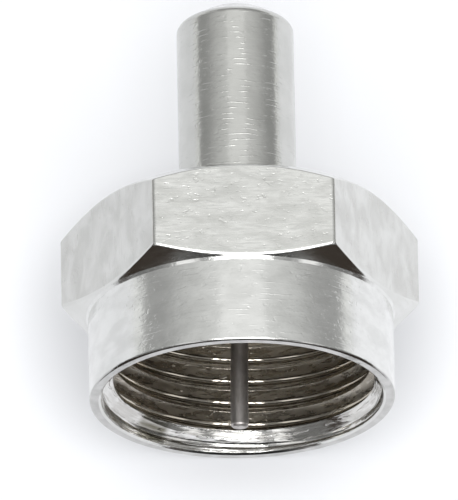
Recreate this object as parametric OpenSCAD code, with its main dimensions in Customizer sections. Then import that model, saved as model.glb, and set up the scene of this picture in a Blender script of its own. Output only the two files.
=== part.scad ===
// Screw-on coaxial terminator: a hexagon-bodied plug with a threaded socket,
// a centre pin and a slim barrel that holds the load resistor.
// Lengths are millimetres. The part lies on one hexagon flat, +Z up, with its
// axis along Y: the mouth faces -Y and the barrel points to +Y. The origin is
// on the axis, in the plane of the mouth.

/* [Threaded socket] */
// Major diameter of the socket's 3/8-32 thread, the width of its plain bore
thread_major_d = 9.525; // [8:0.005:12]
// Depth of the socket from the mouth to its floor
socket_depth = 5; // [4:0.1:8]
// Wall of the round collar outside the thread
collar_wall = 0.39; // [0.3:0.01:1]
// Length of the round collar, from the mouth to the hexagon
collar_len = 3; // [2:0.1:4]
// Round on the outer edge of the mouth
mouth_round = 0.12; // [0.05:0.01:0.25]

/* [Hexagon] */
// Step from the collar out to the hexagon's flats
collar_step = 0.1; // [0.05:0.01:0.5]
// How far the hexagon's six long corners are cut back from sharp
hex_corner_cut = 0.045; // [0.01:0.005:0.2]
// Slope of the chamfer on the mouth side, in degrees
front_chamfer = 26; // [15:1:40]
// Slope of the chamfer on the barrel side, in degrees
rear_chamfer = 32; // [15:1:40]
// Width of the chamfer at the middle of a flat, on the barrel side
rear_chamfer_step = 0.2; // [0.05:0.01:0.5]
// Solid wall behind the insulator
back_wall = 0.65; // [0.4:0.05:2]

/* [Barrel] */
// Wall of the barrel around the resistor's chamber
barrel_wall = 0.5; // [0.3:0.05:1]
// Thickness of the barrel's end
end_wall = 0.6; // [0.4:0.05:1.5]
// Round on the edge of the barrel's end
end_round = 0.3; // [0.1:0.05:0.4]
// Fillet where the barrel meets the hexagon
root_fillet = 0.15; // [0.05:0.05:0.4]

/* [Insulator] */
// Diameter of the insulator's flange
flange_d = 6; // [4.5:0.1:7.5]
// Thickness of the insulator's flange
flange_t = 0.8; // [0.5:0.05:1.5]
// Length of the insulator's spigot in the barrel
spigot_len = 1; // [0.5:0.1:2]

/* [Resistor] */
// Diameter of the resistor's ceramic rod
rod_d = 1.5; // [1.2:0.05:2]
// Length of the resistor's ceramic rod
rod_len = 5.05; // [3.5:0.05:7]
// Wall of the pressed end caps
cap_wall = 0.2; // [0.1:0.05:0.3]
// Length of rod that each end cap covers
cap_grip = 1.1; // [0.8:0.1:1.4]
// Thickness of the lacquer coat
coat_t = 0.2; // [0.1:0.05:0.4]
// Round on the lacquer coat's ends
coat_round = 0.16; // [0.05:0.01:0.2]
// Diameter of the wire leads, the front one being the centre pin
lead_d = 0.6; // [0.5:0.05:0.8]
// How far the centre pin stands out of the mouth
pin_reach = 1.05; // [0:0.05:3]
// Chamfer on the centre pin's tip
pin_chamfer = 0.06; // [0.02:0.01:0.15]

/* [Solder joint] */
// Diameter of the solder dome on the barrel's end
dome_d = 3; // [1.3:0.1:3.2]
// Height of the solder dome, which hides the lead's end at half that height
dome_h = 0.75; // [0.2:0.05:0.9]

/* [Clearances] */
// Radial gap of parts that are pressed or coated onto each other
press_gap = 0.01; // [0.005:0.005:0.03]
// Radial gap of the pin in the insulator
lead_gap = 0.02; // [0.01:0.01:0.1]
// Radial gap around the resistor in its chamber
chamber_gap = 0.32; // [0.1:0.01:0.8]
// Gap at each end of the resistor in its chamber
tail_gap = 0.25; // [0.1:0.05:0.8]
// Radial gap around the rear lead that the solder fills
solder_gap = 0.15; // [0.1:0.05:0.3]

/* [Hidden] */
$fn = 96;

// Overshoot of a cut past the face that it opens
cut = 1;

// Radii, from the thread outwards and from the rod outwards
socket_r = thread_major_d / 2;
collar_r = socket_r + collar_wall;
hex_flat_r = collar_r + collar_step;
hex_corner_r = hex_flat_r / cos(30);
rear_face_r = hex_flat_r - rear_chamfer_step;
flange_r = flange_d / 2;
lead_r = lead_d / 2;
rod_r = rod_d / 2;
cap_in_r = rod_r + press_gap;
cap_r = cap_in_r + cap_wall;
coat_in_r = cap_r + press_gap;
coat_r = coat_in_r + coat_t;
waist_r = rod_r + press_gap + coat_t;
chamber_r = coat_r + chamber_gap;
barrel_r = chamber_r + barrel_wall;
lead_hole_r = lead_r + lead_gap;
tail_hole_r = lead_r + solder_gap;

// Places along the axis, from the mouth to the barrel's end
recess_z = socket_depth + flange_t;
hex_rear_z = recess_z + back_wall;
spigot_z = recess_z + spigot_len;
coat_front_z = spigot_z + tail_gap;
cap_front_z = coat_front_z + coat_t;
rod_front_z = cap_front_z + cap_wall;
rod_rear_z = rod_front_z + rod_len;
cap_rear_z = rod_rear_z + cap_wall;
coat_rear_z = cap_rear_z + coat_t;
chamber_end_z = coat_rear_z + tail_gap;
barrel_end_z = chamber_end_z + end_wall;
lead_end_z = barrel_end_z + dome_h / 2;

// Lays a part that is turned about Z down along Y
module lay() {
    rotate([-90, 0, 0]) children();
}

// Rectangle in the half plane of a turned profile, between two radii and two places
module band(r0, r1, z0, z1) {
    translate([r0, z0]) square([r1 - r0, z1 - z0]);
}

// Solid rod profile with a round on its far outer edge
module rod_profile(r, z0, z1, edge) {
    band(0, r - edge, z0, z1);
    band(0, r, z0, z1 - edge);
    translate([r - edge, z1 - edge]) intersection() {
        circle(edge);
        square(edge);
    }
}

// Hexagonal bar with its flats up and down once laid
module hex_bar(z0, z1) {
    translate([0, 0, z0]) cylinder(r = hex_corner_r, h = z1 - z0, $fn = 6);
}

// Turned envelope that cuts the hexagon's corners back and chamfers both ends
module chamfer_envelope() {
    rim_r = hex_corner_r - hex_corner_cut;
    rotate_extrude() polygon([
        [0, collar_len],
        [collar_r, collar_len],
        [rim_r, collar_len + (rim_r - collar_r) * tan(front_chamfer)],
        [rim_r, hex_rear_z - (rim_r - rear_face_r) * tan(rear_chamfer)],
        [rear_face_r, hex_rear_z],
        [0, hex_rear_z]]);
}

// Fillet in the corner between the hexagon's rear face and the barrel
module root_profile() {
    difference() {
        band(barrel_r, barrel_r + root_fillet, hex_rear_z, hex_rear_z + root_fillet);
        translate([barrel_r + root_fillet, hex_rear_z + root_fillet]) circle(root_fillet);
    }
}

// Everything that is bored out of the body: socket, insulator seat, chamber and tail hole
module bore_profile() {
    band(0, socket_r, -cut, socket_depth);
    band(0, flange_r + press_gap, socket_depth - cut, recess_z);
    band(0, chamber_r, socket_depth - cut, chamber_end_z);
    band(0, tail_hole_r, socket_depth - cut, barrel_end_z + cut);
}

// One turned piece: threaded collar, hexagon and barrel
module terminator_body() {
    color("silver") lay() difference() {
        union() {
            mirror([0, 0, 1]) rotate_extrude()
                rod_profile(collar_r, -collar_len - collar_step, 0, mouth_round);
            intersection() {
                hex_bar(collar_len, hex_rear_z);
                chamfer_envelope();
            }
            rotate_extrude() {
                rod_profile(barrel_r, socket_depth, barrel_end_z, end_round);
                root_profile();
            }
        }
        rotate_extrude() bore_profile();
    }
}

// Moulded bush that centres the pin, flush with the socket's floor
module insulator_bush() {
    color("white") lay() rotate_extrude() difference() {
        union() {
            band(0, flange_r, socket_depth, recess_z);
            band(0, chamber_r - press_gap, recess_z, spigot_z);
        }
        band(0, lead_hole_r, socket_depth - cut, spigot_z + cut);
    }
}

// Front lead of the resistor, which is the plug's centre pin
module centre_pin() {
    color("gainsboro") lay() rotate_extrude() polygon([
        [0, -pin_reach],
        [lead_r - pin_chamfer, -pin_reach],
        [lead_r, -pin_reach + pin_chamfer],
        [lead_r, cap_front_z],
        [0, cap_front_z]]);
}

// Pressed cup over one end of the rod, its closed end at the origin
module end_cap() {
    rotate_extrude() difference() {
        band(0, cap_r, 0, cap_wall + cap_grip);
        band(0, cap_in_r, cap_wall, cap_wall + cap_grip + cut);
    }
}

module resistor_cap_front() {
    color("lightsteelblue") lay() translate([0, 0, cap_front_z]) end_cap();
}

module resistor_cap_rear() {
    color("lightsteelblue") lay() translate([0, 0, cap_rear_z]) mirror([0, 0, 1]) end_cap();
}

// Ceramic rod that carries the resistive film
module resistor_rod() {
    color("ivory") lay() translate([0, 0, rod_front_z]) cylinder(r = rod_r, h = rod_len);
}

// Lacquer over rod and caps, fatter at the caps
module resistor_coat() {
    cap_span = cap_wall + cap_grip;
    bulge_z = cap_rear_z - cap_span - coat_t;
    color("peru") lay() rotate_extrude() difference() {
        union() {
            band(0, waist_r, cap_front_z, cap_rear_z);
            rod_profile(coat_r, bulge_z, coat_rear_z, coat_round);
            translate([0, coat_front_z + coat_rear_z]) mirror([0, 1])
                rod_profile(coat_r, bulge_z, coat_rear_z, coat_round);
        }
        band(0, lead_hole_r, coat_front_z - cut, coat_rear_z + cut);
        band(0, rod_r + press_gap, cap_front_z, cap_rear_z);
        band(0, coat_in_r, cap_front_z, cap_front_z + cap_span + press_gap);
        band(0, coat_in_r, cap_rear_z - cap_span - press_gap, cap_rear_z);
    }
}

// Rear lead of the resistor, soldered into the barrel's end
module rear_lead() {
    color("gainsboro") lay() translate([0, 0, cap_rear_z])
        cylinder(r = lead_r, h = lead_end_z - cap_rear_z);
}

// Solder that fills the tail hole and stands out as a dome over the lead's end
module solder_joint() {
    dome_r = dome_d / 2;
    dome_ball_r = (dome_r * dome_r + dome_h * dome_h) / (2 * dome_h);
    color("darkgray") lay() rotate_extrude() difference() {
        union() {
            band(0, tail_hole_r - press_gap, chamber_end_z, barrel_end_z);
            intersection() {
                translate([0, barrel_end_z + dome_h - dome_ball_r]) circle(dome_ball_r);
                band(0, dome_r, barrel_end_z, barrel_end_z + dome_h);
            }
        }
        band(0, lead_r + press_gap, chamber_end_z - cut, lead_end_z);
    }
}

terminator_body();
insulator_bush();
centre_pin();
resistor_cap_front();
resistor_rod();
resistor_coat();
resistor_cap_rear();
rear_lead();
solder_joint();
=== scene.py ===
"""Looks of a screw-on coaxial terminator: plated body with a cut thread, centre pin, insulator and solder."""
import math

import bmesh
import bpy
from mathutils import Matrix, Vector


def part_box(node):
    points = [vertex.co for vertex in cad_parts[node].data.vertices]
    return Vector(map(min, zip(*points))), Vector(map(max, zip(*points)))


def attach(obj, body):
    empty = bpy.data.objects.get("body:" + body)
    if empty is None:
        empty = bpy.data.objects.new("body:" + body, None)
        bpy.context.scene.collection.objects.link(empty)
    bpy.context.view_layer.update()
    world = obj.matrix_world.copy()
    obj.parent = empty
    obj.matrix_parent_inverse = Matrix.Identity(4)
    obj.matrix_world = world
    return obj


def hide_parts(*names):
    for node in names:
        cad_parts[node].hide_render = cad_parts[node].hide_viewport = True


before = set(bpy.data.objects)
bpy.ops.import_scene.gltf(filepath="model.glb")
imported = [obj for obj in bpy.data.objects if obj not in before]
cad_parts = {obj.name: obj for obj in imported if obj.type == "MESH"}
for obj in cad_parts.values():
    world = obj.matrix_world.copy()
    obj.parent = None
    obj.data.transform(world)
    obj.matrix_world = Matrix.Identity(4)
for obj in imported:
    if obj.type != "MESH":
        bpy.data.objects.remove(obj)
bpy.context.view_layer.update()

# Pieces are modelled at one unit per millimetre and brought to metres when they are finished
MM = 0.001

# Places within NEAR millimetres of each other count as the same, and vertices within MERGED become one
NEAR = 0.004
MERGED = 1e-4

# Steps of a full turn, and how far a tool body reaches past the piece that it shapes
TURN_STEPS = 240
SPARE = 1

# Half of the turn from one flat of the hexagon to the next, and half of the angle between a thread's flanks
HEX_HALF_ANGLE = math.radians(30)
FLANK_ANGLE = math.radians(30)

# Sizes that the frame gives, in millimetres
body_low, body_high = (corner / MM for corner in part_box("terminator_body"))
pin_low, pin_high = (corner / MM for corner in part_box("centre_pin"))
bush_low, bush_high = (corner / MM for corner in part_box("insulator_bush"))
solder_low, solder_high = (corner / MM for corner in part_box("solder_joint"))
HEX_FLAT_R = body_high.z
HEX_CORNER_R = HEX_FLAT_R / math.cos(HEX_HALF_ANGLE)
BARREL_END = body_high.y
FLOOR_Z = body_low.z
PIN_R = pin_high.x
FLANGE_R = bush_high.x
SOCKET_DEPTH = bush_low.y
SPIGOT_END = bush_high.y
DOME_R = solder_high.x
DOME_END = solder_high.y

# Sizes of the body in millimetres, with places measured along its axis from the mouth
COLLAR_R = 5.1525
COLLAR_LEN = 3.0
FRONT_CHAMFER = math.radians(26)
REAR_CHAMFER = math.radians(32)
REAR_FACE_R = 5.0525
HEX_REAR = 6.45
PRESS_GAP = 0.01
SEAT_END = 5.8
CHAMBER_R = 1.49
CHAMBER_END = 13.15
TAIL_HOLE_R = 0.45
BARREL_R = 1.99

# Broken edges of the body, the collar's corner being a flat ring where it meets the hexagon
HEX_CORNER_ROUND = 0.17
HEX_FRONT_BEVEL = 0.085
HEX_REAR_BEVEL = 0.045
COLLAR_CORNER = 0.07
MOUTH_ROUND = 0.09
LIP_INNER_CHAMFER = 0.06
END_ROUND = 0.3
ROOT_FILLET = 0.15

# Inch thread of 3/8-32 with a sixty degree form, cut to five eighths of its full height, with rounded grooves
THREAD_MAJOR_R = 4.7625
THREAD_PITCH = 0.79375
THREAD_SHARE = 0.625
THREAD_HEIGHT = THREAD_SHARE * THREAD_PITCH * math.cos(FLANK_ANGLE)
THREAD_MINOR_R = THREAD_MAJOR_R - THREAD_HEIGHT
THREAD_FIRST_GROOVE = -1.55
THREAD_TURNS = 8
THREAD_STEPS = 144
THREAD_END = 4.3
TAP_END = 4.6
GROOVE_DEPTH = 0.085
RIDGE_ROUND = 0.005

# Rounding takes a share of its width off the groove's point, so the point starts that much further out
GROOVE_ROUND = 0.3
POINT_LOSS = 0.507
GROOVE_POINT_R = THREAD_MAJOR_R + POINT_LOSS * GROOVE_ROUND

# Lead-in of the socket: a nearly straight step at the mouth, then a chamfer down to the drilled hole
MOUTH_CLEARANCE = 0.015
MOUTH_R = THREAD_MAJOR_R + MOUTH_CLEARANCE
STEP_R = 4.7
STEP_DEPTH = 0.3
LEAD_IN_ANGLE = math.radians(41)
DRILL_UNDERSIZE = 0.05
DRILL_R = THREAD_MINOR_R - DRILL_UNDERSIZE
LEAD_IN_END = STEP_DEPTH + (STEP_R - DRILL_R) / math.tan(LEAD_IN_ANGLE)

# Limits of the tests that pick edges and faces: turns between faces, shares of a normal, and millimetres
CHAMFER_TURN = math.radians(20)
SQUARE_TO_AXIS = 0.999
ALONG_AXIS = 0.05
TOP_OR_BOTTOM = 0.9
LIP_FACING = -0.5
FLANK_FACING = (0.3, 0.95)
CREST_FACING = 0.7
CHAMFER_MATCH = 0.05
HEX_INSIDE_R = BARREL_R + 1
COLLAR_SKIN = 0.03
BARREL_START = HEX_REAR + 0.02
BARREL_SKIN = (BARREL_R - 0.4, BARREL_R + 0.3)


def deselect_everything():
    """Leave no object selected or active, so that an operator acts on the next piece alone."""
    bpy.ops.object.select_all(action="DESELECT")
    bpy.context.view_layer.objects.active = None


def only(obj):
    """Make one object the selected and active one."""
    deselect_everything()
    obj.select_set(True)
    bpy.context.view_layer.objects.active = obj


def edit(obj):
    """Go into edit mode on one object alone."""
    only(obj)
    bpy.ops.object.mode_set(mode="EDIT")


def leave():
    """Go back to object mode."""
    bpy.ops.object.mode_set(mode="OBJECT")


def radius_of(point):
    """Distance of a point from the part's axis."""
    return math.hypot(point.x, point.z)


def pick(obj, kind, test):
    """In edit mode, select the vertices, edges or faces that pass a test."""
    bpy.ops.mesh.select_mode(type=kind)
    bpy.ops.mesh.select_all(action="DESELECT")
    mesh = bmesh.from_edit_mesh(obj.data)
    for item in {"VERT": mesh.verts, "EDGE": mesh.edges, "FACE": mesh.faces}[kind]:
        if test(item):
            item.select_set(True)
    mesh.select_flush_mode()
    bmesh.update_edit_mesh(obj.data)


def on_ring(radius, place):
    """Test for edges that lie on a circle about the axis."""
    def test(edge):
        return all(abs(radius_of(v.co) - radius) < NEAR and abs(v.co.y - place) < NEAR for v in edge.verts)
    return test


def close_up():
    """Merge the doubles of the mesh in edit mode and turn its faces outwards."""
    bpy.ops.mesh.select_mode(type="VERT")
    bpy.ops.mesh.select_all(action="SELECT")
    bpy.ops.mesh.remove_doubles(threshold=MERGED)
    bpy.ops.mesh.normals_make_consistent(inside=False)


def round_rings(obj, rings):
    """Bevel rings of edges, each given as radius, place, width and segments."""
    for radius, place, width, segments in rings:
        pick(obj, "EDGE", on_ring(radius, place))
        bpy.ops.mesh.bevel(offset=width, segments=segments, affect="EDGES", clamp_overlap=False)


def draw_ring(stations):
    """Extrude the selected ring of edges through (radius, place) stations, the first being where it is."""
    for (radius, place), (next_radius, next_place) in zip(stations, stations[1:]):
        bpy.ops.mesh.extrude_region_move(TRANSFORM_OT_translate={"value": (0, next_place - place, 0)})
        scale = next_radius / radius
        bpy.ops.transform.resize(value=(scale, 1, scale), center_override=(0, next_place, 0))


def draw_profile(name, points):
    """A chain of edges through (radius, place) points, started from one vertex and extruded on."""
    deselect_everything()
    bpy.ops.mesh.primitive_plane_add(size=1, location=(0, 0, 0))
    obj = bpy.context.object
    obj.name = name
    bpy.ops.object.mode_set(mode="EDIT")
    bpy.ops.mesh.select_mode(type="VERT")
    bpy.ops.mesh.select_all(action="SELECT")
    bpy.ops.mesh.merge(type="CENTER")
    bpy.ops.transform.translate(value=(points[0][0], points[0][1], 0))
    for (radius, place), (next_radius, next_place) in zip(points, points[1:]):
        step = (next_radius - radius, next_place - place, 0)
        bpy.ops.mesh.extrude_vertices_move(TRANSFORM_OT_translate={"value": step})
    leave()
    return obj


def turn(obj, steps, advance=0.0, turns=1):
    """Sweep a profile about the axis, once round or as a screw."""
    only(obj)
    sweep = obj.modifiers.new("turn", "SCREW")
    sweep.axis = "Y"
    sweep.steps = steps
    sweep.render_steps = steps
    sweep.screw_offset = advance
    sweep.iterations = turns
    bpy.ops.object.modifier_apply(modifier=sweep.name)
    edit(obj)
    close_up()
    leave()


def combine(obj, tool, operation):
    """Cut or intersect a piece with a tool body, which is used up."""
    only(obj)
    cut = obj.modifiers.new("cut", "BOOLEAN")
    cut.operation = operation
    cut.solver = "EXACT"
    cut.object = tool
    bpy.ops.object.modifier_apply(modifier=cut.name)
    bpy.data.objects.remove(tool, do_unlink=True)


def new_ring(name, vertices, radius, place):
    """A circle of edges about the axis, open in edit mode and selected."""
    deselect_everything()
    bpy.ops.mesh.primitive_circle_add(
        vertices=vertices, radius=radius, location=(0, place, 0), rotation=(math.pi / 2, 0, 0))
    obj = bpy.context.object
    obj.name = name
    bpy.ops.object.transform_apply(location=True, rotation=True, scale=True)
    bpy.ops.object.mode_set(mode="EDIT")
    bpy.ops.mesh.select_mode(type="EDGE")
    bpy.ops.mesh.select_all(action="SELECT")
    return obj


def finish_piece(obj, sharp_degrees):
    """Smooth shading that keeps edges sharper than an angle, then from millimetres to metres."""
    only(obj)
    bpy.ops.object.shade_smooth_by_angle(angle=math.radians(sharp_degrees))
    weigh = obj.modifiers.new("weigh", "WEIGHTED_NORMAL")
    weigh.keep_sharp = True
    bpy.ops.object.modifier_apply(modifier=weigh.name)
    obj.scale = (MM, MM, MM)
    bpy.ops.object.transform_apply(location=True, rotation=True, scale=True)


def hexagon_blank():
    """Hexagonal bar with rounded corners, its flats up and down, chamfered at both ends by turning."""
    deselect_everything()
    bpy.ops.mesh.primitive_cylinder_add(
        vertices=6, radius=HEX_CORNER_R, depth=HEX_REAR - COLLAR_LEN + 2 * SPARE,
        location=(0, (HEX_REAR + COLLAR_LEN) / 2, 0), rotation=(math.pi / 2, HEX_HALF_ANGLE, 0))
    blank = bpy.context.object
    blank.name = "terminator_shell"
    bpy.ops.object.transform_apply(location=True, rotation=True, scale=True)
    bpy.ops.object.mode_set(mode="EDIT")
    pick(blank, "EDGE", lambda edge: abs(edge.verts[0].co.y - edge.verts[1].co.y) > NEAR)
    corner_width = HEX_CORNER_ROUND * math.tan(HEX_HALF_ANGLE)
    bpy.ops.mesh.bevel(offset=corner_width, segments=5, affect="EDGES")
    leave()
    rim = HEX_CORNER_R + SPARE
    envelope = draw_profile("chamfer_envelope", [
        (0, COLLAR_LEN),
        (COLLAR_R, COLLAR_LEN),
        (rim, COLLAR_LEN + (rim - COLLAR_R) * math.tan(FRONT_CHAMFER)),
        (rim, HEX_REAR - (rim - REAR_FACE_R) * math.tan(REAR_CHAMFER)),
        (REAR_FACE_R, HEX_REAR),
        (0, HEX_REAR)])
    turn(envelope, TURN_STEPS)
    combine(blank, envelope, "INTERSECT")
    return blank


def grow_body(shell):
    """Draw the collar, socket and barrel out of the hexagon's two ends as rings of faces."""
    edit(shell)
    close_up()
    pick(shell, "FACE", lambda face: abs(face.normal.y) > SQUARE_TO_AXIS)
    bpy.ops.mesh.delete(type="FACE")
    pick(shell, "VERT", lambda vert: not vert.link_faces)
    bpy.ops.mesh.delete(type="VERT")
    pick(shell, "EDGE", on_ring(COLLAR_R, COLLAR_LEN))
    seat_r = FLANGE_R + PRESS_GAP
    draw_ring([
        (COLLAR_R, COLLAR_LEN), (COLLAR_R, 0), (MOUTH_R, 0), (STEP_R, STEP_DEPTH), (DRILL_R, LEAD_IN_END),
        (DRILL_R, THREAD_END), (MOUTH_R, THREAD_END), (MOUTH_R, SOCKET_DEPTH), (seat_r, SOCKET_DEPTH),
        (seat_r, SEAT_END), (CHAMBER_R, SEAT_END), (CHAMBER_R, CHAMBER_END), (TAIL_HOLE_R, CHAMBER_END),
        (TAIL_HOLE_R, BARREL_END)])
    pick(shell, "EDGE", on_ring(REAR_FACE_R, HEX_REAR))
    draw_ring([
        (REAR_FACE_R, HEX_REAR), (BARREL_R, HEX_REAR), (BARREL_R, BARREL_END), (TAIL_HOLE_R, BARREL_END)])
    close_up()
    leave()


def break_edges(shell):
    """Round the body's edges as tumbling and plating leave them."""
    hex_middle = (COLLAR_LEN + HEX_REAR) / 2

    def chamfer_edge(first, last):
        def test(edge):
            inside = all(first + NEAR < v.co.y < last - NEAR for v in edge.verts)
            return inside and edge.is_manifold and edge.calc_face_angle() > CHAMFER_TURN
        return test
    edit(shell)
    for first, last, width in (
            (COLLAR_LEN, hex_middle, HEX_FRONT_BEVEL), (hex_middle, HEX_REAR, HEX_REAR_BEVEL)):
        pick(shell, "EDGE", chamfer_edge(first, last))
        bpy.ops.mesh.bevel(offset=width, segments=4, affect="EDGES", clamp_overlap=False)
    round_rings(shell, [
        (COLLAR_R, COLLAR_LEN, COLLAR_CORNER, 1),
        (REAR_FACE_R, HEX_REAR, HEX_REAR_BEVEL, 3),
        (COLLAR_R, 0, MOUTH_ROUND, 6),
        (MOUTH_R, 0, LIP_INNER_CHAMFER, 1),
        (BARREL_R, HEX_REAR, ROOT_FILLET, 5),
        (BARREL_R, BARREL_END, END_ROUND, 8)])
    leave()


def thread_tap():
    """Threaded rod with rounded tops, the shape that the tap cuts away."""
    first = THREAD_FIRST_GROOVE
    flank = (GROOVE_POINT_R - THREAD_MINOR_R) * math.tan(FLANK_ANGLE)
    tap = draw_profile("thread_tap", [
        (THREAD_MINOR_R, first - THREAD_PITCH / 2),
        (THREAD_MINOR_R, first - flank),
        (GROOVE_POINT_R, first),
        (THREAD_MINOR_R, first + flank),
        (THREAD_MINOR_R, first + THREAD_PITCH / 2)])
    edit(tap)
    for radius, width, segments in ((GROOVE_POINT_R, GROOVE_ROUND, 10), (THREAD_MINOR_R, RIDGE_ROUND, 1)):
        pick(tap, "VERT", lambda vert: len(vert.link_edges) == 2 and abs(vert.co.x - radius) < MERGED)
        bpy.ops.mesh.bevel(offset=width, segments=segments, affect="VERTICES")
    leave()
    turn(tap, THREAD_STEPS, THREAD_PITCH, THREAD_TURNS)
    edit(tap)
    places = [v.co.y for v in tap.data.vertices]
    middle = (min(places) + max(places)) / 2
    for side in (-1, 1):
        pick(tap, "EDGE", lambda edge: edge.is_boundary and side * (edge.verts[0].co.y - middle) > 0)
        bpy.ops.mesh.extrude_region_move(TRANSFORM_OT_translate={"value": (0, 0, 0)})
        bpy.ops.mesh.merge(type="CENTER")
    close_up()
    leave()
    bpy.ops.mesh.primitive_cylinder_add(
        vertices=TURN_STEPS, radius=GROOVE_POINT_R + SPARE, depth=2 * TAP_END, rotation=(math.pi / 2, 0, 0))
    combine(tap, bpy.context.object, "INTERSECT")
    return tap


def terminator_shell():
    """The whole turned body: hexagon, collar, threaded socket and barrel."""
    shell = hexagon_blank()
    grow_body(shell)
    break_edges(shell)
    combine(shell, thread_tap(), "DIFFERENCE")
    return shell


# Centre pin: a sheared end with a rounded edge, on a free stretch that leans a little to the left
PIN_STEPS = 48
PIN_SHEAR = math.radians(-5)
PIN_SHEAR_ROOM = 0.03
PIN_ROUND = 0.12
PIN_EDGE_ZONE = 0.3
PIN_EDGE_TURN = math.radians(50)
PIN_LEAN = 0.1
PIN_LEAN_FROM = 1


def contact_wire():
    """Centre pin cut from wire, with a sheared end that stands out of the mouth."""
    cut = pin_low.y + PIN_SHEAR_ROOM

    def on_cut_edge(edge):
        at_end = max(v.co.y for v in edge.verts) < pin_low.y + PIN_EDGE_ZONE
        return at_end and edge.calc_face_angle() > PIN_EDGE_TURN
    wire = new_ring("contact_wire", PIN_STEPS, PIN_R, pin_high.y)
    bpy.ops.mesh.edge_face_add()
    pick(wire, "EDGE", on_ring(PIN_R, pin_high.y))
    draw_ring([(PIN_R, pin_high.y), (PIN_R, SOCKET_DEPTH), (PIN_R, 0), (PIN_R, cut)])
    bpy.ops.mesh.edge_face_add()
    bpy.ops.transform.rotate(
        value=PIN_SHEAR, orient_axis="X", orient_type="GLOBAL", center_override=(0, cut, 0))
    pick(wire, "EDGE", on_cut_edge)
    bpy.ops.mesh.bevel(offset=PIN_ROUND, segments=6, affect="EDGES")
    pick(wire, "VERT", lambda vert: vert.co.y < PIN_LEAN_FROM)
    bpy.ops.transform.translate(value=(-PIN_LEAN, 0, 0))
    close_up()
    leave()
    return wire


# Insulator: steps of its rings, the round of its edges, and the gap that it leaves round the pin
BUSH_STEPS = 120
BUSH_EDGE = 0.06
BUSH_HOLE_GAP = 0.02
BUSH_HOLE_R = PIN_R + BUSH_HOLE_GAP


def moulded_bush():
    """Moulded insulator with a flange in the socket floor and a spigot round the pin."""
    spigot_r = CHAMBER_R - PRESS_GAP
    bush = new_ring("moulded_bush", BUSH_STEPS, FLANGE_R, SOCKET_DEPTH)
    draw_ring([
        (FLANGE_R, SOCKET_DEPTH), (FLANGE_R, SEAT_END), (spigot_r, SEAT_END), (spigot_r, SPIGOT_END),
        (BUSH_HOLE_R, SPIGOT_END), (BUSH_HOLE_R, SOCKET_DEPTH), (FLANGE_R, SOCKET_DEPTH)])
    close_up()
    round_rings(bush, [
        (FLANGE_R, SOCKET_DEPTH, BUSH_EDGE, 3),
        (FLANGE_R, SEAT_END, BUSH_EDGE, 2),
        (spigot_r, SPIGOT_END, BUSH_EDGE, 2),
        (BUSH_HOLE_R, SOCKET_DEPTH, BUSH_EDGE / 2, 2)])
    leave()
    return bush


# Solder: the share of its height that the dome keeps, the angles of its rings, and how its upper part sags
BEAD_STEPS = 64
DOME_HEIGHT_KEPT = 0.86
DOME_ANGLES = (0, 8, 18, 30, 42, 54, 66, 78, 86)
DOME_SAG_FROM = 0.3
DOME_SAG = (0.03, 0, -0.05)


def solder_bead():
    """Frozen bead of solder over the tail hole, sagging a little to one side."""
    base = solder_low.y
    plug_r = TAIL_HOLE_R - PRESS_GAP
    rise = (DOME_END - BARREL_END) * DOME_HEIGHT_KEPT
    bead = new_ring("solder_bead", BEAD_STEPS, plug_r, base)
    bpy.ops.mesh.edge_face_add()
    pick(bead, "EDGE", on_ring(plug_r, base))
    dome = [(DOME_R * math.cos(math.radians(lift)), BARREL_END + rise * math.sin(math.radians(lift)))
            for lift in DOME_ANGLES]
    draw_ring([(plug_r, base), (plug_r, BARREL_END)] + dome)
    bpy.ops.mesh.edge_face_add()
    close_up()
    pick(bead, "VERT", lambda vert: vert.co.y > BARREL_END + rise * DOME_SAG_FROM)
    bpy.ops.transform.translate(value=DOME_SAG)
    leave()
    return bead


def put(tree, kind, **settings):
    """Add a node with its settings."""
    node = tree.nodes.new(kind)
    for name, value in settings.items():
        setattr(node, name, value)
    return node


def new_group(name, inputs, outputs):
    """Shader node group with plain number sockets, and its two end nodes."""
    group = bpy.data.node_groups.new(name, "ShaderNodeTree")
    for label in inputs:
        group.interface.new_socket(label, in_out="INPUT", socket_type="NodeSocketFloat")
    for label in outputs:
        group.interface.new_socket(label, in_out="OUTPUT", socket_type="NodeSocketFloat")
    return group, put(group, "NodeGroupInput"), put(group, "NodeGroupOutput")


def millimetres(tree):
    """Object coordinates in millimetres."""
    where = put(tree, "ShaderNodeTexCoord")
    scaled = put(tree, "ShaderNodeVectorMath", operation="SCALE")
    scaled.inputs["Scale"].default_value = 1 / MM
    tree.links.new(where.outputs["Object"], scaled.inputs[0])
    return scaled.outputs[0]


def calculate(tree, operation, first, second=0):
    """Math node on one or two sockets or numbers."""
    node = put(tree, "ShaderNodeMath", operation=operation)
    for socket, value in zip(node.inputs, (first, second)):
        if isinstance(value, (int, float)):
            socket.default_value = value
        else:
            tree.links.new(value, socket)
    return node.outputs[0]


def stretched_noise(tree, place, grain, detail=2.0, swirl=0.0):
    """Noise with its own number of grains per millimetre along each axis, which may be swirled."""
    sized = put(tree, "ShaderNodeVectorMath", operation="MULTIPLY")
    tree.links.new(place, sized.inputs[0])
    sized.inputs[1].default_value = grain
    noise = put(tree, "ShaderNodeTexNoise")
    noise.inputs["Scale"].default_value = 1
    noise.inputs["Detail"].default_value = detail
    noise.inputs["Distortion"].default_value = swirl
    tree.links.new(sized.outputs[0], noise.inputs["Vector"])
    return noise.outputs["Fac"]


def between(tree, value, low, high, from_value=0.0, to_value=1.0):
    """Smooth step of a value from low to high, as a range of numbers."""
    node = put(tree, "ShaderNodeMapRange", interpolation_type="SMOOTHSTEP")
    tree.links.new(value, node.inputs["Value"])
    node.inputs["From Min"].default_value = low
    node.inputs["From Max"].default_value = high
    node.inputs["To Min"].default_value = from_value
    node.inputs["To Max"].default_value = to_value
    return node.outputs["Result"]


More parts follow.
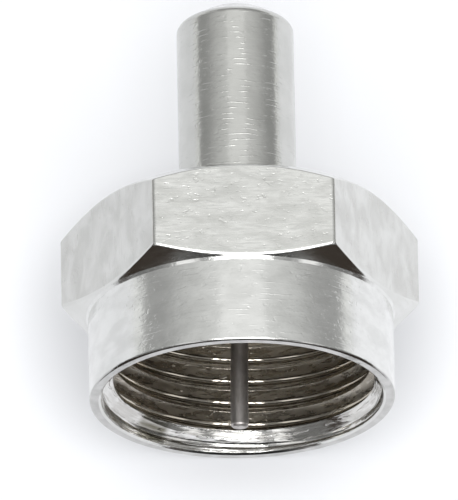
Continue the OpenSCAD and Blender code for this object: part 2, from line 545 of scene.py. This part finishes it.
def colour_mix(tree):
    """Factor, two colour inputs and colour output of a new mixing node."""
    node = put(tree, "ShaderNodeMix", data_type="RGBA")
    return node.inputs[0], node.inputs[6], node.inputs[7], node.outputs[2]


# Tones of the surfaces, the first of each pair being the cleaner one
NICKEL_TONES = ((0.70, 0.70, 0.685), (0.63, 0.63, 0.61))
FLAT_TONES = ((0.76, 0.76, 0.74), (0.54, 0.54, 0.52))
SIDE_TONES = ((0.66, 0.66, 0.64), (0.53, 0.525, 0.505))
BARREL_TONES = ((0.60, 0.60, 0.58), (0.52, 0.52, 0.50))
COLLAR_TONES = ((0.755, 0.755, 0.74), (0.63, 0.63, 0.615))
LIP_TONES = ((0.58, 0.575, 0.565), (0.41, 0.405, 0.395))
LEAD_IN_TONES = ((0.80, 0.795, 0.78), (0.53, 0.515, 0.49))
THREAD_TONES = ((0.52, 0.485, 0.43), (0.44, 0.40, 0.34))
WIRE_TONES = ((0.60, 0.575, 0.56), (0.32, 0.30, 0.285))
SOLDER_TONES = ((0.80, 0.80, 0.79), (0.70, 0.70, 0.69))
CAP_TONES = ((0.66, 0.66, 0.655), (0.6, 0.59, 0.57))
BUSH_TONES = ((0.76, 0.745, 0.70), (0.70, 0.68, 0.63))
CERAMIC_TONES = ((0.72, 0.69, 0.63), (0.64, 0.61, 0.55))
LACQUER_TONES = ((0.50, 0.35, 0.20), (0.44, 0.30, 0.17))

# Clouds of two tones: their detail, the levels between which they change, and the darker one's largest share
CLOUD_DETAIL = 6.0
CLOUD_LEVELS = (0.3, 0.7)
CLOUD_SHARE = 0.8

# Levels of clouds and marks together between which a metal goes from its smoother to its rougher end
WEAR_LEVELS = (0.3, 1.2)

# Grains per millimetre of finishes that have no grain of their own
METAL_GRAIN = (0.7, 0.9, 0.7)
MOULDED_GRAIN = (1.5, 1.5, 1.5)
MOULDED_SKIN_GRAIN = (6, 6, 6)

# Feed marks of the lathe, how they wander, and the wave length of the wave texture at scale one
FEED_PER_TURN = 0.2
FEED_WANDER = 2.5
FEED_WANDER_DETAIL = 1
FEED_WANDER_SIZE = 0.6
WAVE_LENGTH = math.pi / 10

# Grains per millimetre of the marks
WORN_GRAIN = (2.4, 2.2, 2.4)
DASH_GRAIN = (1.7, 13.0, 1.7)
DENT_GRAIN = (3.2, 4.5, 3.2)
PIT_GRAIN = (4.5, 6.5, 4.5)
PIT_SWIRL = 0.8
SCRATCH_GRAIN = (0.7, 1.7, 0.7)
SCRATCH_BREAK_GRAIN = (1.9, 1.9, 1.9)
DRAWN_GRAIN = (9.0, 1.7, 9.0)

# Levels at which a mark begins and is full, and for a scratch the distance from the middle level of its noise
FEED_LEVELS = (0.9, 1.0)
WORN_LEVELS = (0.46, 0.6)
DASH_LEVELS = (0.4, 0.65)
PIT_LEVELS = (0.58, 0.78)
SCRATCH_LEVELS = (0.0, 0.03)
SCRATCH_BREAK_LEVELS = (0.52, 0.6)
DRAWN_LEVELS = (0.56, 0.7)
MIDDLE_LEVEL = 0.5

# Painted dark reflection at the lower left of the mouth, in millimetres, with streaks where it is fainter
DARK_REFLECTION_MIDDLE = (-2.9, 0, -3.45)
DARK_REFLECTION_CORE = 0.45
DARK_REFLECTION_REACH = 0.78
DARK_REFLECTION_COLOUR = (0.17, 0.16, 0.125)
DARK_REFLECTION_GRAIN = (0.9, 11.0, 0.9)
DARK_REFLECTION_LEVELS = (0.3, 0.6)
DARK_REFLECTION_THIN = 0.55

# Lacquer of a 75 ohm resistor, with its colour bands as places along the axis in millimetres
LACQUER_ROUGHNESS = 0.22
LACQUER_GRAIN = (1.2, 1.2, 1.2)
LACQUER_WAVES = 0.02
BAND_PLACES = (8.3, 9.3, 10.3, 11.7)
BAND_HALF = 0.22
BAND_EDGE = 0.03
BAND_COLOURS = ((0.20, 0.05, 0.35), (0.05, 0.30, 0.07), (0.015, 0.015, 0.015), (0.55, 0.38, 0.10))


def turning_marks_group():
    """Feed grooves that a lathe tool leaves here and there round the axis, and finer dashes along them."""
    group, given, result = new_group("turning_marks", ["Feed", "Dashes"], ["Height", "Marks"])
    place = millimetres(group)
    feed = put(group, "ShaderNodeTexWave", bands_direction="Y")
    feed.inputs["Scale"].default_value = WAVE_LENGTH / FEED_PER_TURN
    feed.inputs["Distortion"].default_value = FEED_WANDER
    feed.inputs["Detail"].default_value = FEED_WANDER_DETAIL
    feed.inputs["Detail Scale"].default_value = FEED_WANDER_SIZE
    group.links.new(place, feed.inputs["Vector"])
    groove = between(group, feed.outputs["Fac"], *FEED_LEVELS)
    worn = between(group, stretched_noise(group, place, WORN_GRAIN, detail=3.0), *WORN_LEVELS)
    worn_groove = calculate(group, "MULTIPLY", groove, worn)
    feed_part = calculate(group, "MULTIPLY", worn_groove, given.outputs["Feed"])
    dashes = stretched_noise(group, place, DASH_GRAIN)
    dash_part = calculate(group, "MULTIPLY", dashes, given.outputs["Dashes"])
    group.links.new(calculate(group, "ADD", feed_part, dash_part), result.inputs["Height"])
    marks = calculate(group, "MULTIPLY", between(group, dashes, *DASH_LEVELS), given.outputs["Dashes"])
    group.links.new(marks, result.inputs["Marks"])
    return group


def handling_marks_group():
    """Dents and pits of tumbling, short curved scratches, and marks that drawing the bar leaves along it."""
    group, given, result = new_group(
        "handling_marks", ["Dents", "Pits", "Scratches", "Lengthwise"], ["Height", "Marks"])
    place = millimetres(group)
    dents = stretched_noise(group, place, DENT_GRAIN, detail=3.0)
    dent = calculate(group, "MULTIPLY", dents, given.outputs["Dents"])
    pits = between(group, stretched_noise(group, place, PIT_GRAIN, swirl=PIT_SWIRL), *PIT_LEVELS)
    pit = calculate(group, "MULTIPLY", pits, given.outputs["Pits"])
    waves = stretched_noise(group, place, SCRATCH_GRAIN, detail=1.0)
    off_level = calculate(group, "ABSOLUTE", calculate(group, "SUBTRACT", waves, MIDDLE_LEVEL))
    line = between(group, off_level, *SCRATCH_LEVELS, 1.0, 0.0)
    breaks = stretched_noise(group, place, SCRATCH_BREAK_GRAIN, detail=1.0)
    short_line = calculate(group, "MULTIPLY", line, between(group, breaks, *SCRATCH_BREAK_LEVELS))
    scratch = calculate(group, "MULTIPLY", short_line, given.outputs["Scratches"])
    lengthwise = stretched_noise(group, place, DRAWN_GRAIN)
    ridge = calculate(group, "MULTIPLY", lengthwise, given.outputs["Lengthwise"])
    raised = calculate(group, "ADD", dent, ridge)
    cut = calculate(group, "ADD", scratch, pit)
    group.links.new(calculate(group, "SUBTRACT", raised, cut), result.inputs["Height"])
    streaks = between(group, lengthwise, *DRAWN_LEVELS)
    drawn = calculate(group, "MULTIPLY", streaks, given.outputs["Lengthwise"])
    worn = calculate(group, "MAXIMUM", drawn, scratch)
    group.links.new(calculate(group, "MAXIMUM", worn, pit), result.inputs["Marks"])
    return group


turning_marks = turning_marks_group()
handling_marks = handling_marks_group()


def two_tones(tree, surface, tones, grain, marks=None, swirl=0.0):
    """Base colour that wanders between two tones in patches of a grain per millimetre, darker on marks."""
    cloud = stretched_noise(tree, millimetres(tree), grain, CLOUD_DETAIL, swirl)
    patches = between(tree, cloud, *CLOUD_LEVELS, 0.0, CLOUD_SHARE)
    if marks is not None:
        patches = calculate(tree, "MAXIMUM", patches, marks)
    factor, first, second, mixed = colour_mix(tree)
    first.default_value = (*tones[0], 1)
    second.default_value = (*tones[1], 1)
    tree.links.new(patches, factor)
    tree.links.new(mixed, surface.inputs["Base Color"])
    return cloud


def new_finish(name, metallic):
    """New material with its node tree and surface node."""
    material = bpy.data.materials.new(name)
    material.use_nodes = True
    tree = material.node_tree
    surface = tree.nodes["Principled BSDF"]
    surface.inputs["Metallic"].default_value = metallic
    return material, tree, surface


def emboss(tree, surface, height, depth):
    """Bump of a height between 0 and 1, with its depth in millimetres."""
    bump = put(tree, "ShaderNodeBump")
    bump.inputs["Distance"].default_value = depth * MM
    tree.links.new(height, bump.inputs["Height"])
    tree.links.new(bump.outputs["Normal"], surface.inputs["Normal"])


def metal_finish(name, tones, roughness, depth, grain=METAL_GRAIN, swirl=0.0, **marks):
    """Metal with two tones, a range of roughness, and marks of the two groups to a depth in millimetres."""
    material, tree, surface = new_finish(name, 1)
    turned = put(tree, "ShaderNodeGroup", node_tree=turning_marks)
    handled = put(tree, "ShaderNodeGroup", node_tree=handling_marks)
    for node in (turned, handled):
        for socket in node.inputs:
            socket.default_value = marks.get(socket.name.lower(), 0)
    emboss(tree, surface, calculate(tree, "ADD", turned.outputs["Height"], handled.outputs["Height"]), depth)
    worn = calculate(tree, "MAXIMUM", turned.outputs["Marks"], handled.outputs["Marks"])
    cloud = two_tones(tree, surface, tones, grain, worn, swirl)
    rough = between(tree, calculate(tree, "ADD", cloud, worn), *WEAR_LEVELS, *roughness)
    tree.links.new(rough, surface.inputs["Roughness"])
    return material


def paint_over(tree, surface, mask, colour):
    """Lay one more colour over a surface where a mask is one."""
    base = surface.inputs["Base Color"]
    factor, first, second, mixed = colour_mix(tree)
    tree.links.new(mask, factor)
    tree.links.new(base.links[0].from_socket, first)
    second.default_value = (*colour, 1)
    tree.links.new(mixed, base)


def painted_dark_reflection(material):
    """Paint a dark streaky reflection into the colour of one stretch of the mouth."""
    tree = material.node_tree
    surface = tree.nodes["Principled BSDF"]
    place = millimetres(tree)
    flat = put(tree, "ShaderNodeVectorMath", operation="MULTIPLY")
    flat.inputs[1].default_value = (1, 0, 1)
    tree.links.new(place, flat.inputs[0])
    off_middle = put(tree, "ShaderNodeVectorMath", operation="DISTANCE")
    off_middle.inputs[1].default_value = DARK_REFLECTION_MIDDLE
    tree.links.new(flat.outputs[0], off_middle.inputs[0])
    spread = between(tree, off_middle.outputs["Value"], DARK_REFLECTION_CORE, DARK_REFLECTION_REACH, 1.0, 0.0)
    streaks = between(tree, stretched_noise(tree, place, DARK_REFLECTION_GRAIN), *DARK_REFLECTION_LEVELS, 1.0, DARK_REFLECTION_THIN)
    paint_over(tree, surface, calculate(tree, "MULTIPLY", spread, streaks), DARK_REFLECTION_COLOUR)
    return material


def moulded_finish(name, tones, roughness, depth):
    """Plastic or ceramic with two close tones and a faintly uneven skin."""
    material, tree, surface = new_finish(name, 0)
    cloud = two_tones(tree, surface, tones, MOULDED_GRAIN)
    emboss(tree, surface, stretched_noise(tree, millimetres(tree), MOULDED_SKIN_GRAIN), depth)
    tree.links.new(between(tree, cloud, *CLOUD_LEVELS, *roughness), surface.inputs["Roughness"])
    return material


def banded_lacquer():
    """Glossy resistor lacquer with four colour bands round it: violet, green, black and gold."""
    material, tree, surface = new_finish("banded_lacquer", 0)
    surface.inputs["Roughness"].default_value = LACQUER_ROUGHNESS
    split = put(tree, "ShaderNodeSeparateXYZ")
    tree.links.new(millimetres(tree), split.inputs[0])
    cloud = two_tones(tree, surface, LACQUER_TONES, LACQUER_GRAIN)
    for place, colour in zip(BAND_PLACES, BAND_COLOURS):
        off_middle = calculate(tree, "ABSOLUTE", calculate(tree, "SUBTRACT", split.outputs["Y"], place))
        band = between(tree, off_middle, BAND_HALF, BAND_HALF + BAND_EDGE, 1.0, 0.0)
        paint_over(tree, surface, band, colour)
    emboss(tree, surface, cloud, LACQUER_WAVES)
    return material


def dress(obj, material):
    """Give a piece one material."""
    obj.data.materials.clear()
    obj.data.materials.append(material)


def dress_faces(obj, test, material):
    """Give the faces of a piece that pass a test one more material."""
    obj.data.materials.append(material)
    obj.active_material_index = len(obj.data.materials) - 1
    edit(obj)
    pick(obj, "FACE", test)
    bpy.ops.object.material_slot_assign()
    leave()


def on_hex_flat(face):
    """A face of one of the six flats, or of the walls inside them, where the socket is finished later."""
    centre = face.calc_center_median()
    in_length = COLLAR_LEN < centre.y < HEX_REAR
    return abs(face.normal.y) < ALONG_AXIS and in_length and radius_of(centre) > HEX_INSIDE_R


def on_sloping_flat(face):
    """A face of one of the four flats at the sides."""
    return on_hex_flat(face) and abs(face.normal.z) < TOP_OR_BOTTOM


def on_collar(face):
    """A face of the collar's outer wall."""
    centre = face.calc_center_median()
    return centre.y < COLLAR_LEN and radius_of(centre) > COLLAR_R - COLLAR_SKIN


def on_barrel(face):
    """A face of the barrel's outer wall and end."""
    centre = face.calc_center_median()
    return centre.y > BARREL_START and BARREL_SKIN[0] < radius_of(centre) < BARREL_SKIN[1]


def on_lip(face):
    """A face of the flat lip round the mouth and of its rounded outer edge."""
    centre = face.calc_center_median()
    outside = radius_of(centre) > MOUTH_R + LIP_INNER_CHAMFER / 2
    return centre.y < MOUTH_ROUND and face.normal.y < LIP_FACING and outside


def in_socket(face, first, last):
    """A face of the socket's wall between two places along the axis."""
    centre = face.calc_center_median()
    return first < centre.y < last and radius_of(centre) < MOUTH_R + NEAR


def on_lead_in(face):
    """A face of the mouth's step and chamfer, or of the thread's start in them."""
    return in_socket(face, -NEAR, LEAD_IN_END)


def in_thread(face):
    """A face of the socket behind the lead-in, down to its floor."""
    return in_socket(face, LEAD_IN_END, SOCKET_DEPTH + NEAR)


def on_flank(face):
    """A face of one of the thread's sloping sides."""
    return in_thread(face) and FLANK_FACING[0] < abs(face.normal.y) < FLANK_FACING[1]


def in_groove(face):
    """A face of the round at the bottom of the thread's groove."""
    return in_thread(face) and radius_of(face.calc_center_median()) > THREAD_MAJOR_R - GROOVE_DEPTH


def on_crest(face):
    """A face on the top of the thread's ridge."""
    low = radius_of(face.calc_center_median()) < THREAD_MINOR_R + RIDGE_ROUND
    return in_thread(face) and low and abs(face.normal.y) < CREST_FACING


def part_lead_in(obj):
    """Keep the border between the lead-in's chamfer and the thread sharp, so neither shades the other."""
    def on_chamfer(face):
        return on_lead_in(face) and abs(face.normal.y + math.sin(LEAD_IN_ANGLE)) < CHAMFER_MATCH
    edit(obj)
    pick(obj, "EDGE", lambda edge: len({on_chamfer(face) for face in edge.link_faces}) == 2)
    bpy.ops.mesh.mark_sharp()
    leave()


def show(piece, node, sharp_degrees):
    """Finish a piece and let it stand for its node in the frame."""
    finish_piece(piece, sharp_degrees)
    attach(piece, "root")
    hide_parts(node)


shell = terminator_shell()
dress(shell, metal_finish(
    "cut_nickel", NICKEL_TONES, roughness=(0.08, 0.16), depth=0.006, dashes=0.5, dents=0.4))
dress_faces(shell, on_hex_flat, metal_finish(
    "drawn_nickel", FLAT_TONES, roughness=(0.18, 0.3), depth=0.012, grain=(1.0, 2.4, 1.0), swirl=0.5,
    dashes=0.6, dents=0.7, pits=0.6, scratches=0.3))
dress_faces(shell, on_sloping_flat, metal_finish(
    "drawn_nickel_side", SIDE_TONES, roughness=(0.18, 0.3), depth=0.012, grain=(1.4, 0.9, 1.4), swirl=0.5,
    dents=0.6, pits=0.2, scratches=0.1, lengthwise=0.45))
dress_faces(shell, on_collar, metal_finish(
    "turned_nickel_collar", COLLAR_TONES, roughness=(0.16, 0.26), depth=0.012, grain=(1.2, 2.0, 1.2),
    swirl=0.2, feed=0.25, dashes=0.15, dents=0.5, pits=0.4))
dress_faces(shell, on_barrel, metal_finish(
    "turned_nickel_barrel", BARREL_TONES, roughness=(0.16, 0.24), depth=0.012,
    feed=0.4, dashes=0.25, dents=0.6, pits=0.3))
dress_faces(shell, on_lip, metal_finish(
    "lip_nickel", LIP_TONES, roughness=(0.12, 0.22), depth=0.01, grain=(1.6, 1.6, 1.6), dents=0.8, pits=0.3))
# The lead-in's colour carries a painted dark reflection at the lower left of the mouth
dress_faces(shell, on_lead_in, painted_dark_reflection(metal_finish(
    "lead_in_nickel", LEAD_IN_TONES, roughness=(0.1, 0.2), depth=0.012, grain=(0.7, 7.0, 0.7),
    feed=0.8, dashes=0.8, dents=0.3)))
dress_faces(shell, in_thread, metal_finish(
    "thread_nickel", THREAD_TONES, roughness=(0.3, 0.4), depth=0.012, dashes=0.3, dents=0.6))
dress_faces(shell, on_flank, metal_finish(
    "flank_nickel", THREAD_TONES, roughness=(0.2, 0.4), depth=0.015, dashes=0.6, dents=0.4, pits=0.8))
dress_faces(shell, in_groove, metal_finish(
    "groove_nickel", THREAD_TONES, roughness=(0.06, 0.1), depth=0.003, dashes=0.3, dents=0.6))
dress_faces(shell, on_crest, metal_finish(
    "torn_crest", THREAD_TONES, roughness=(0.12, 0.2), depth=0.02, grain=(3, 3, 3),
    dashes=1.0, dents=0.5, lengthwise=1.0))
part_lead_in(shell)
show(shell, "terminator_body", sharp_degrees=25)

tinned_wire = metal_finish(
    "tinned_wire", WIRE_TONES, roughness=(0.4, 0.55), depth=0.01, grain=(3.0, 1.2, 3.0), lengthwise=0.6)
wire = contact_wire()
dress(wire, tinned_wire)
show(wire, "centre_pin", sharp_degrees=40)

bush = moulded_bush()
dress(bush, moulded_finish("bush_plastic", BUSH_TONES, roughness=(0.4, 0.5), depth=0.004))
show(bush, "insulator_bush", sharp_degrees=40)

bead = solder_bead()
dress(bead, metal_finish(
    "solder", SOLDER_TONES, roughness=(0.25, 0.45), depth=0.02, grain=(3, 3, 3), dents=0.8))
show(bead, "solder_joint", sharp_degrees=50)

cap_steel = metal_finish("cap_steel", CAP_TONES, roughness=(0.2, 0.35), depth=0.005, dashes=0.5, dents=0.4)
rod_ceramic = moulded_finish("rod_ceramic", CERAMIC_TONES, roughness=(0.5, 0.7), depth=0.006)
dress(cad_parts["rear_lead"], tinned_wire)
dress(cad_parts["resistor_cap_front"], cap_steel)
dress(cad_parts["resistor_cap_rear"], cap_steel)
dress(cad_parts["resistor_rod"], rod_ceramic)
dress(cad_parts["resistor_coat"], banded_lacquer())


# Camera, fitted to the photograph of 458 by 500 pixels
PHOTO_WIDTH = 458
PHOTO_HEIGHT = 500
TARGET = Vector((0, 6.3, 0)) * MM
TARGET_PIXEL = (238.84, 228.1)
CAMERA_AZIMUTH = math.radians(-4.449)
CAMERA_ELEVATION = math.radians(66.347)
CAMERA_ROLL = math.radians(-3.715)
CAMERA_DISTANCE = 500 * MM
FOCAL_PIXELS = 14787.5
SENSOR_HEIGHT = 24
CLIP_START = 0.05
CLIP_END = 20


def add_camera():
    """Camera at the photograph's angle, turned and framed as the photograph is."""
    azimuth, elevation = CAMERA_AZIMUTH, CAMERA_ELEVATION
    back = Vector((math.sin(azimuth) * math.cos(elevation),
                   -math.cos(azimuth) * math.cos(elevation), math.sin(elevation)))
    level = Vector((math.cos(azimuth), math.sin(azimuth), 0))
    upright = back.cross(level)
    cosine, sine = math.cos(CAMERA_ROLL), math.sin(CAMERA_ROLL)
    right = cosine * level - sine * upright
    up = sine * level + cosine * upright
    pixel = CAMERA_DISTANCE / FOCAL_PIXELS
    aim = (TARGET - right * (TARGET_PIXEL[0] - PHOTO_WIDTH / 2) * pixel
           - up * (PHOTO_HEIGHT / 2 - TARGET_PIXEL[1]) * pixel)
    data = bpy.data.cameras.new("camera")
    data.sensor_fit = "VERTICAL"
    data.sensor_height = SENSOR_HEIGHT
    data.lens = FOCAL_PIXELS / PHOTO_HEIGHT * data.sensor_height
    data.clip_start = CLIP_START
    data.clip_end = CLIP_END
    camera = bpy.data.objects.new("camera", data)
    bpy.context.scene.collection.objects.link(camera)
    place = aim + back * CAMERA_DISTANCE
    camera.matrix_world = Matrix((
        (right.x, up.x, back.x, place.x),
        (right.y, up.y, back.y, place.y),
        (right.z, up.z, back.z, place.z),
        (0, 0, 0, 1)))
    bpy.context.scene.camera = camera


def add_plane(name, low, high, height):
    """Level stage plane between two corners, in metres."""
    deselect_everything()
    bpy.ops.mesh.primitive_plane_add(size=1, location=(0, 0, 0))
    plane = bpy.context.object
    plane.name = name
    plane.scale = (high[0] - low[0], high[1] - low[1], 1)
    plane.location = ((low[0] + high[0]) / 2, (low[1] + high[1]) / 2, height)
    bpy.ops.object.transform_apply(location=True, rotation=True, scale=True)
    return plane


# Floor: half its width in metres, and the colours of its surface and of its glow
FLOOR_HALF = 2
FLOOR_COLOUR = (0.50, 0.507, 0.525, 1)
GLOW_COLOUR = (0.97, 0.975, 1.0, 1)

# The floor's glow in the metal, as a span across the floor in millimetres and the strengths at its two ends
GLOW_NEAR = (-25, 25, 0.40, 0.56)
GLOW_FAR_LEFT = (-90, -30, 0.46, 0.0)

# The floor's glow to the camera, likewise, as a span outwards in sizes of an oval round the part, dimmer near
# the part as a painted contact shadow
SHADOW_OVAL_HALF_WIDTH = 6.3
SHADOW_OVAL_HALF_LENGTH = 5.2
SHADOW_OVAL_MIDDLE = 4.8
CAMERA_GLOW_WITH_PAINTED_SHADOW = (0.85, 1.35, 0.3, 0.48)


def add_floor():
    """Pale floor with the part's shadow, duller at the left in the metal, and a painted shadow near the part
    to the camera.
    """
    floor = add_plane("floor", (-FLOOR_HALF, -FLOOR_HALF), (FLOOR_HALF, FLOOR_HALF), FLOOR_Z * MM)
    material = bpy.data.materials.new("pale_floor")
    material.use_nodes = True
    tree = material.node_tree
    tree.nodes.clear()
    out = put(tree, "ShaderNodeOutputMaterial")
    matt = put(tree, "ShaderNodeBsdfDiffuse")
    matt.inputs["Color"].default_value = FLOOR_COLOUR
    glow = put(tree, "ShaderNodeEmission")
    glow.inputs["Color"].default_value = GLOW_COLOUR
    path = put(tree, "ShaderNodeLightPath")
    split = put(tree, "ShaderNodeSeparateXYZ")
    tree.links.new(millimetres(tree), split.inputs[0])
    near = between(tree, split.outputs["X"], *GLOW_NEAR)
    far_left = between(tree, split.outputs["X"], *GLOW_FAR_LEFT)
    mirrored = calculate(tree, "MAXIMUM", near, far_left)
    in_metal = calculate(tree, "MULTIPLY", path.outputs["Is Glossy Ray"], mirrored)
    across = calculate(tree, "DIVIDE", split.outputs["X"], SHADOW_OVAL_HALF_WIDTH)
    off_middle = calculate(tree, "SUBTRACT", split.outputs["Y"], SHADOW_OVAL_MIDDLE)
    along = calculate(tree, "DIVIDE", off_middle, SHADOW_OVAL_HALF_LENGTH)
    squares = calculate(tree, "ADD", calculate(tree, "POWER", across, 2), calculate(tree, "POWER", along, 2))
    # The glow to the camera dims inside the oval round the part: a painted contact shadow
    painted_shadow_glow = between(tree, calculate(tree, "SQRT", squares), *CAMERA_GLOW_WITH_PAINTED_SHADOW)
    direct = calculate(tree, "MULTIPLY", path.outputs["Is Camera Ray"], painted_shadow_glow)
    tree.links.new(calculate(tree, "MAXIMUM", in_metal, direct), glow.inputs["Strength"])
    both = put(tree, "ShaderNodeAddShader")
    tree.links.new(matt.outputs[0], both.inputs[0])
    tree.links.new(glow.outputs[0], both.inputs[1])
    tree.links.new(both.outputs[0], out.inputs["Surface"])
    dress(floor, material)


# Dark cards on the floor in front of the mouth, in metres: a wide one, and two small ones at the sides
CARD_COLOUR = (0.045, 0.036, 0.03, 1)
CARD_ROUGHNESS = 0.9
CARD_LIFT = 0.0002
FRONT_CARD_HALF = 0.3
FRONT_CARD_START = -0.4
FRONT_CARD_END = -0.0074
SIDE_CARD_END = -0.0041
SIDE_CARD_INNER = 0.0038
SIDE_CARD_OUTER = 0.009
CARDS = (
    ("front_card", (-FRONT_CARD_HALF, FRONT_CARD_START), (FRONT_CARD_HALF, FRONT_CARD_END)),
    ("left_card", (-SIDE_CARD_OUTER, FRONT_CARD_END), (-SIDE_CARD_INNER, SIDE_CARD_END)),
    ("right_card", (SIDE_CARD_INNER, FRONT_CARD_END), (SIDE_CARD_OUTER, SIDE_CARD_END)))


def add_dark_cards():
    """Brown cards lying in front of the part, seen only in the metal."""
    material = bpy.data.materials.new("brown_card")
    material.use_nodes = True
    surface = material.node_tree.nodes["Principled BSDF"]
    surface.inputs["Base Color"].default_value = CARD_COLOUR
    surface.inputs["Roughness"].default_value = CARD_ROUGHNESS
    surface.inputs["Specular IOR Level"].default_value = 0
    for name, low, high in CARDS:
        card = add_plane(name, low, high, FLOOR_Z * MM + CARD_LIFT)
        card.visible_camera = False
        card.visible_diffuse = False
        card.visible_shadow = False
        dress(card, material)


# Studio: its colour, and strengths as a span of one coordinate of the direction and the values at its ends
STUDIO_COLOUR = (0.985, 0.995, 0.985, 1)
STUDIO_HORIZON = (0.12, 0.18, 1.0, 0.0)
STUDIO_RISE = (0.35, 0.95, 0.42, 0.85)
STUDIO_BEHIND = (-0.3, 0.0, 0.0, 1.0)
STUDIO_ASIDE = (0.3, 0.6, 0.03, 0.22)
STUDIO_OVERHEAD = (0.25, 0.4, 0.0, 0.33)


def add_world():
    """Grey studio with a white horizon at the sides and back, dark towards the front."""
    world = bpy.data.worlds.new("studio")
    bpy.context.scene.world = world
    world.use_nodes = True
    tree = world.node_tree
    tree.nodes.clear()
    out = put(tree, "ShaderNodeOutputWorld")
    studio = put(tree, "ShaderNodeBackground")
    where = put(tree, "ShaderNodeTexCoord")
    split = put(tree, "ShaderNodeSeparateXYZ")
    tree.links.new(where.outputs["Generated"], split.inputs[0])
    horizon = between(tree, split.outputs["Z"], *STUDIO_HORIZON)
    rise = between(tree, split.outputs["Z"], *STUDIO_RISE)
    behind = between(tree, split.outputs["Y"], *STUDIO_BEHIND)
    aside = between(tree, calculate(tree, "ABSOLUTE", split.outputs["X"]), *STUDIO_ASIDE)
    overhead = between(tree, split.outputs["Z"], *STUDIO_OVERHEAD)
    lit = calculate(tree, "MULTIPLY", calculate(tree, "MAXIMUM", horizon, rise), behind)
    dim = calculate(tree, "MAXIMUM", aside, overhead)
    tree.links.new(calculate(tree, "MAXIMUM", lit, dim), studio.inputs["Strength"])
    studio.inputs["Color"].default_value = STUDIO_COLOUR
    tree.links.new(studio.outputs[0], out.inputs["Surface"])


# Height of the ceiling in metres, and softboxes under it as two corners in ceiling heights and a radiance
CEILING = 0.6
SOFTBOXES = (
    ("back_strip", (-0.33, 0.0), (0.31, 1.3), 0.2),
    ("front_strip", (-0.39, -2.3), (0.6, -1.3), 1.8),
    ("top_strip", (-0.39, -0.25), (0.6, 0.0), 1.2),
    ("left_panel", (-1.35, -2.6), (-0.75, -0.4), 1.0),
    ("right_panel", (1.05, -3.0), (2.0, -0.4), 0.9))

# Row of narrow lamps from right to left, in ceiling heights
LAMP_COUNT = 6
LAMP_FIRST = 0.335
LAMP_STEP = 0.132
LAMP_HALF = 0.045
LAMP_FRONT = -1.4
LAMP_BACK = -0.15
LAMP_RADIANCE = 6.0


def add_ceiling_light(name, low, high, radiance):
    """Level softbox under the ceiling between two corners given in ceiling heights."""
    width, length = (CEILING * (b - a) for a, b in zip(low, high))
    data = bpy.data.lights.new(name, "AREA")
    data.shape = "RECTANGLE"
    data.size = width
    data.size_y = length
    data.energy = radiance * math.pi * width * length
    lamp = bpy.data.objects.new(name, data)
    bpy.context.scene.collection.objects.link(lamp)
    lamp.location = (CEILING * (low[0] + high[0]) / 2, CEILING * (low[1] + high[1]) / 2, CEILING)
    lamp.visible_camera = False


add_camera()
bpy.context.scene.view_settings.view_transform = "Standard"
add_floor()
add_dark_cards()
add_world()
for name, low, high, radiance in SOFTBOXES:
    add_ceiling_light(name, low, high, radiance)
for number in range(LAMP_COUNT):
    middle = LAMP_FIRST - LAMP_STEP * number
    low = (middle - LAMP_HALF, LAMP_FRONT)
    high = (middle + LAMP_HALF, LAMP_BACK)
    add_ceiling_light(f"lamp_{number + 1}", low, high, LAMP_RADIANCE)
